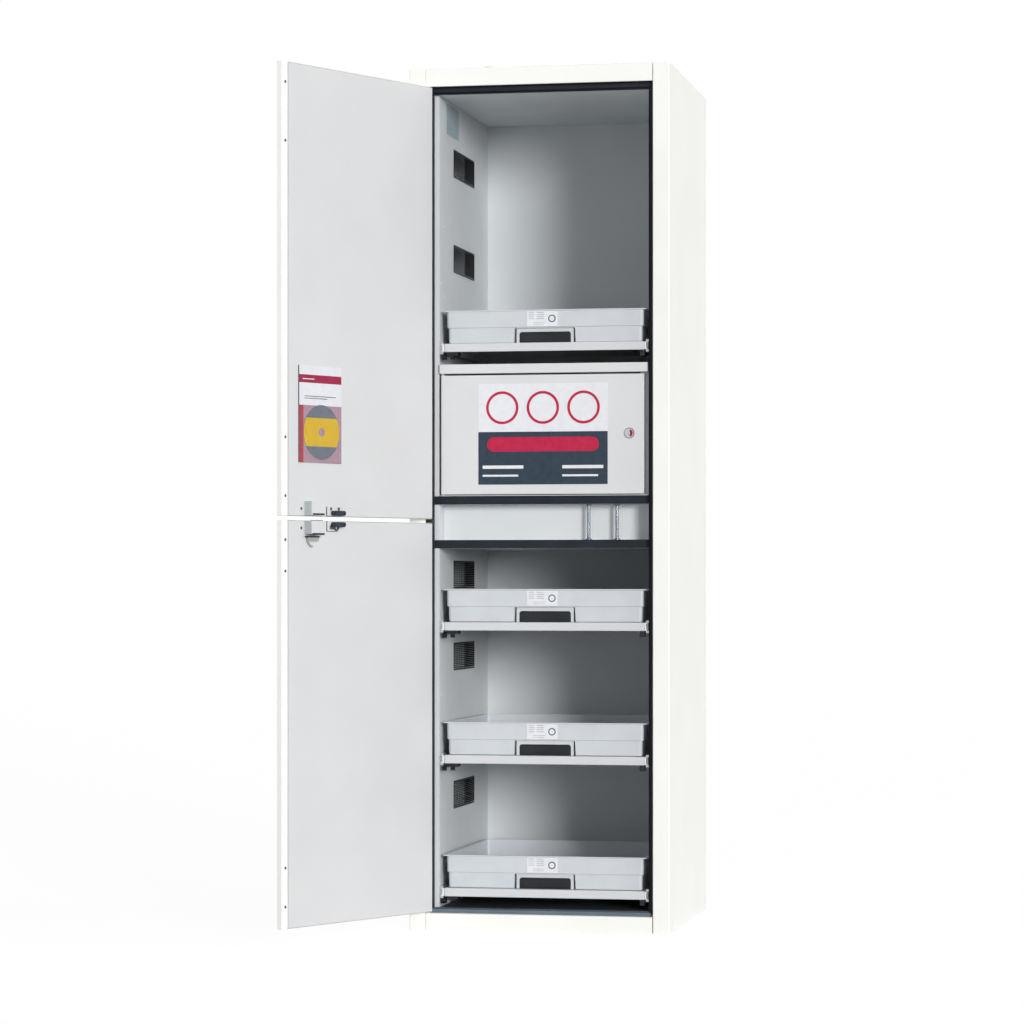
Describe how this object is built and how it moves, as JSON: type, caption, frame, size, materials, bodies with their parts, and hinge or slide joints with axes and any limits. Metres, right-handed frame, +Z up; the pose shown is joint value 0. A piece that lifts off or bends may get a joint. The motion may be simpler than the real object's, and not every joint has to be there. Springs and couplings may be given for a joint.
{
  "type": "acid and chemical cabinet",
  "caption": "Tall ventilated steel cabinet for acids and chemicals, with stacked hinged doors, telescopic pull-outs with spill trays and a lockable inner box.",
  "frame": {"origin": "centre of the cabinet's footprint on the floor", "axes": "+Z up, -Y out of the front, +X to the right of someone facing the front"},
  "size_m": [0.8012, 1.0633, 2.01],
  "materials": {
    "white_steel": "white powder-coated sheet steel, fine satin texture",
    "grey_steel": "light grey powder-coated sheet steel",
    "board": "light grey melamine-faced mineral board",
    "seal": "matt near-black sealing profile",
    "black_plastic": "fine-textured black moulded plastic",
    "tray_plastic": "light grey moulded polypropylene, satin",
    "zinc": "bright zinc-plated steel",
    "chrome": "polished chrome plate",
    "card": "printed card in a clear pocket"
  },
  "bodies": {
    "cabinet": {"air_duct": "zinc", "back_panel": "white_steel", "base_panel": "grey_steel", "bay_panel": "board", "ceiling_panel": "board", "door_seal": "seal", "exhaust_plenum": "zinc", "exhaust_spigot": "white_steel", "floor_panel": "board", "inner_box": "grey_steel", "lining_back": "board", "lining_left": "board", "lining_right": "board", "partition_lower": "board", "partition_upper": "board", "pivot_bearing": "black_plastic", "plinth_panel": "white_steel", "roof_panel": "white_steel", "side_panel_left": "white_steel", "side_panel_right": "white_steel", "strike_rod_1": "chrome", "strike_rod_2": "chrome", "vent_grille_1": "black_plastic", "vent_grille_2": "black_plastic", "vent_grille_3": "black_plastic", "vent_grille_4": "black_plastic", "vent_grille_5": "black_plastic"},
    "upper_door": {"upper_door_shell": "white_steel", "upper_door_liner": "board", "upper_door_handle": "white_steel", "upper_lock_case": "zinc", "document_pocket": "card"},
    "upper_arm": {"upper_link_arm": "black_plastic"},
    "lower_door": {"lower_door_shell": "white_steel", "lower_door_liner": "board", "lower_door_handle": "white_steel", "lower_lock_case": "zinc"},
    "lower_arm": {"lower_link_arm": "black_plastic"},
    "inner_door": {"inner_box_door": "grey_steel"},
    "inner_lock": {"inner_box_lock": "chrome"},
    "pull_out_1": {"pull_out_1_shelf": "white_steel", "pull_out_1_tray": "tray_plastic", "pull_out_1_grip": "black_plastic"},
    "middle_runners_1": {"pull_out_1_middle_runner_left": "zinc", "pull_out_1_middle_runner_right": "zinc"},
    "pull_out_2": {"pull_out_2_shelf": "white_steel", "pull_out_2_tray": "tray_plastic", "pull_out_2_grip": "black_plastic"},
    "middle_runners_2": {"pull_out_2_middle_runner_left": "zinc", "pull_out_2_middle_runner_right": "zinc"},
    "pull_out_3": {"pull_out_3_shelf": "white_steel", "pull_out_3_tray": "tray_plastic", "pull_out_3_grip": "black_plastic"},
    "middle_runners_3": {"pull_out_3_middle_runner_left": "zinc", "pull_out_3_middle_runner_right": "zinc"},
    "pull_out_4": {"pull_out_4_shelf": "white_steel", "pull_out_4_tray": "tray_plastic", "pull_out_4_grip": "black_plastic"},
    "middle_runners_4": {"pull_out_4_middle_runner_left": "zinc", "pull_out_4_middle_runner_right": "zinc"}
  },
  "joints": [
    {"name": "upper_door_hinge", "type": "hinge", "parent": "cabinet", "child": "upper_door", "pos_m": [-0.2556, -0.2981, 1.42], "axis": [0, 0, -1], "range_deg": [-116.8, 3]},
    {"name": "lower_door_hinge", "type": "hinge", "parent": "cabinet", "child": "lower_door", "pos_m": [-0.2556, -0.2981, 0.485], "axis": [0, 0, -1], "range_deg": [-116.8, 3]},
    {"name": "upper_arm_turn", "type": "hinge", "parent": "upper_door", "child": "upper_arm", "pos_m": [-0.40357, -0.62119, 0.9453], "axis": [0.8926, -0.4509, 0], "range_deg": [0, 60]},
    {"name": "lower_arm_turn", "type": "hinge", "parent": "lower_door", "child": "lower_arm", "pos_m": [-0.40357, -0.62119, 0.9204], "axis": [-0.8926, 0.4509, 0], "range_deg": [0, 60]},
    {"name": "inner_door_hinge", "type": "hinge", "parent": "cabinet", "child": "inner_door", "pos_m": [-0.2265, -0.277, 1.13], "axis": [0, 0, -1], "range_deg": [0, 100]},
    {"name": "inner_lock_turn", "type": "hinge", "parent": "inner_door", "child": "inner_lock", "pos_m": [0.205, -0.281, 1.131], "axis": [0, -1, 0], "range_deg": [0, 90]},
    {"name": "pull_out_1_slide", "type": "slide", "parent": "cabinet", "child": "pull_out_1", "axis": [0, -1, 0], "range_m": [0, 0.45]},
    {"name": "middle_runners_1_slide", "type": "slide", "parent": "cabinet", "child": "middle_runners_1", "axis": [0, -1, 0], "range_m": [0, 0.225]},
    {"name": "pull_out_2_slide", "type": "slide", "parent": "cabinet", "child": "pull_out_2", "axis": [0, -1, 0], "range_m": [0, 0.45]},
    {"name": "middle_runners_2_slide", "type": "slide", "parent": "cabinet", "child": "middle_runners_2", "axis": [0, -1, 0], "range_m": [0, 0.225]},
    {"name": "pull_out_3_slide", "type": "slide", "parent": "cabinet", "child": "pull_out_3", "axis": [0, -1, 0], "range_m": [0, 0.45]},
    {"name": "middle_runners_3_slide", "type": "slide", "parent": "cabinet", "child": "middle_runners_3", "axis": [0, -1, 0], "range_m": [0, 0.225]},
    {"name": "pull_out_4_slide", "type": "slide", "parent": "cabinet", "child": "pull_out_4", "axis": [0, -1, 0], "range_m": [0, 0.45]},
    {"name": "middle_runners_4_slide", "type": "slide", "parent": "cabinet", "child": "middle_runners_4", "axis": [0, -1, 0], "range_m": [0, 0.225]}
  ],
  "couplings": [
    {"joint": "middle_runners_1_slide", "follows": "pull_out_1_slide", "ratio": 0.5},
    {"joint": "middle_runners_2_slide", "follows": "pull_out_2_slide", "ratio": 0.5},
    {"joint": "middle_runners_3_slide", "follows": "pull_out_3_slide", "ratio": 0.5},
    {"joint": "middle_runners_4_slide", "follows": "pull_out_4_slide", "ratio": 0.5}
  ]
}
